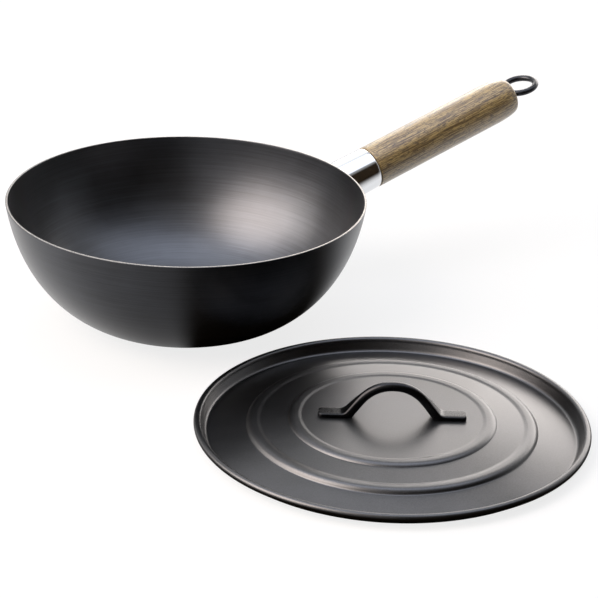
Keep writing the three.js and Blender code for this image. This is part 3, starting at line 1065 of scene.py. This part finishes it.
def makeFloor():
    mesh = bpy.data.meshes.new("floor")
    work = bmesh.new()
    bmesh.ops.create_circle(work, cap_ends=True, segments=floor["sides"], radius=floor["radius"])
    work.to_mesh(mesh)
    work.free()
    ground, tree = addStage("floor", mesh, "white_paper_floor")
    ground.location.z = -floor["drop"]
    paper = addNode(tree, "ShaderNodeBsdfDiffuse", {"Color": toLinear(floor["colour"])})
    glow = addNode(tree, "ShaderNodeEmission", {"Color": toLinear(floor["glow"]), "Strength": 1.0})
    share = addNode(tree, "ShaderNodeMath", {
        0: seenRays(tree), 1: floor["glowShare"]}, operation="MULTIPLY")
    mixed = addNode(tree, "ShaderNodeMixShader", {
        0: share, 1: paper, 2: glow})
    addNode(tree, "ShaderNodeOutputMaterial", {"Surface": mixed})


# dark card that only gloss sees, soft at its ends, so that the metal has something dark to show
card = {
    "colour": "#231d15",
    "edges": (66, 106, 171, 184, 255),  # azimuths: start, full, wane, half gone, end
    "half": 0.58,  # cover that is left where it is half gone
    "foot": 0.066,
    "radius": 1.7,
    "heights": (38, 58),  # full up to the first, gone at the second, in degrees
    "lift": 0.2 * millimetre,
    "steps": 114,
}


def makeCard():
    start, full, wane, halfGone, end = card["edges"]
    half, lift, steps = card["half"], card["lift"], card["steps"]
    tall = [card["radius"] * math.tan(math.radians(height)) for height in card["heights"]]
    vertices, faces, cover = [], [], []
    for i in range(steps + 1):
        azimuth = start + (end - start) * i / steps
        way = compass(azimuth) * card["radius"]
        near = way * card["foot"] / card["radius"]
        vertices += [(near.x, near.y, lift), (way.x, way.y, lift)]
        vertices += [(way.x, way.y, height) for height in tall]
        drop = (1 - half) * smoothStep(azimuth, wane, halfGone)
        drop += half * smoothStep(azimuth, halfGone, end)
        share = smoothStep(azimuth, start, full) * (1 - drop)
        cover += [share, share, share, 0.0]
    for i in range(steps):
        for j in range(3):
            here, after = 4 * i + j, 4 * i + 4 + j
            faces.append((here, after, after + 1, here + 1))
    mesh = bpy.data.meshes.new("dark_card")
    mesh.from_pydata(vertices, [], faces)
    mesh.attributes.new("cover", "FLOAT", "POINT").data.foreach_set("value", cover)
    sheet, tree = addStage("dark_card", mesh, "brown_felt_card")
    for ray in ("camera", "diffuse", "shadow", "transmission", "volume_scatter"):
        setattr(sheet, "visible_" + ray, False)
    felt = addNode(tree, "ShaderNodeBsdfDiffuse", {"Color": toLinear(card["colour"])})
    clear = addNode(tree, "ShaderNodeBsdfTransparent")
    share = addNode(tree, "ShaderNodeAttribute", attribute_name="cover")
    soft = addNode(tree, "ShaderNodeMixShader", {
        0: share.outputs["Fac"], 1: clear, 2: felt})
    addNode(tree, "ShaderNodeOutputMaterial", {"Surface": soft})


# lamps: two warm soft boxes on the left, a cool strip overhead and two boxes behind the wok
lamps = {
    "key": {
        "azimuth": -118, "height": 42, "distance": 2.0, "size": (2.3, 2.0),
        "power": 70, "colour": "#fff0e4", "soft": True},
    "left": {
        "azimuth": -86, "height": 22, "distance": 2.0, "size": (1.3, 0.9),
        "power": 14, "colour": "#fff4ea", "soft": False},
    "upper": {
        "azimuth": 0, "height": 86, "distance": 2.0, "size": (5.0, 1.9),
        "power": 36, "colour": "#e6eeff", "soft": True},
    "back": {
        "azimuth": 25, "height": 20, "distance": 2.2, "size": (2.6, 1.25),
        "power": 38, "colour": "#fff7f0", "soft": False},
    "behind": {
        "azimuth": -14, "height": 47, "distance": 2.2, "size": (1.6, 1.4),
        "power": 3.5, "colour": "#ffffff", "soft": False},
}
softLayers = (1, 0.9, 0.78, 0.62, 0.4)  # shares of a soft lamp's size, laid over each other
layerGap = 0.02


def makeLamp(name, lamp):
    way = compass(lamp["azimuth"], lamp["height"])
    layers = softLayers if lamp["soft"] else (1,)
    for order, share in enumerate(layers):
        light = bpy.data.lights.new(name + "_soft_box", "AREA")
        light.shape = "ELLIPSE"
        light.size, light.size_y = (size * share for size in lamp["size"])
        light.energy = lamp["power"] * share ** 2 / sum(layer ** 2 for layer in layers)
        light.color = toLinear(lamp["colour"])[:3]
        box = bpy.data.objects.new(light.name, light)
        box.location = way * (lamp["distance"] - order * layerGap)
        box.rotation_euler = way.to_track_quat("Z", "Y").to_euler()
        box.visible_camera = False
        bpy.context.scene.collection.objects.link(box)


# white room: dim as a light, white to look at, and greyer high up on the right
room = {
    "colour": "#ffffff",
    "fill": 0.06,
    "greyHeights": (42, 60),  # the wall turns grey between these heights, in degrees
    "greyAcross": (-0.25, 0.05),  # and between these shares of the way to the right
    "greyShare": 0.45,
}


def makeRoom():
    world = bpy.data.worlds.new("studio_white")
    bpy.context.scene.world = world
    world.use_nodes = True
    tree = world.node_tree
    level = addNode(tree, "ShaderNodeMapRange", {
        "Value": seenRays(tree), "To Min": room["fill"], "To Max": 1.0})
    place = addNode(tree, "ShaderNodeTexCoord")
    way = addNode(tree, "ShaderNodeSeparateXYZ", {0: place.outputs["Generated"]})
    across = addNode(tree, "ShaderNodeVectorMath", {
        0: place.outputs["Generated"], 1: viewAcross}, operation="DOT_PRODUCT")
    low, high = (math.sin(math.radians(height)) for height in room["greyHeights"])
    above = addNode(tree, "ShaderNodeMapRange", {
        "Value": way.outputs["Z"], "From Min": low, "From Max": high}, interpolation_type="SMOOTHSTEP")
    near, far = room["greyAcross"]
    beside = addNode(tree, "ShaderNodeMapRange", {
        "Value": across.outputs["Value"], "From Min": near, "From Max": far},
        interpolation_type="SMOOTHSTEP")
    grey = addNode(tree, "ShaderNodeMath", {
        0: above, 1: beside}, operation="MULTIPLY")
    ceiling = addNode(tree, "ShaderNodeMapRange", {
        "Value": grey, "To Min": 1.0, "To Max": room["greyShare"]})
    strength = addNode(tree, "ShaderNodeMath", {
        0: level, 1: ceiling}, operation="MULTIPLY")
    setInputs(tree, tree.nodes["Background"], {
        "Color": toLinear(room["colour"]), "Strength": strength})


makeFloor()
makeCard()
for name, lamp in lamps.items():
    makeLamp(name, lamp)
makeRoom()
bpy.context.scene.view_settings.view_transform = "Standard"
print("studio made:", len(lamps), "lamps")
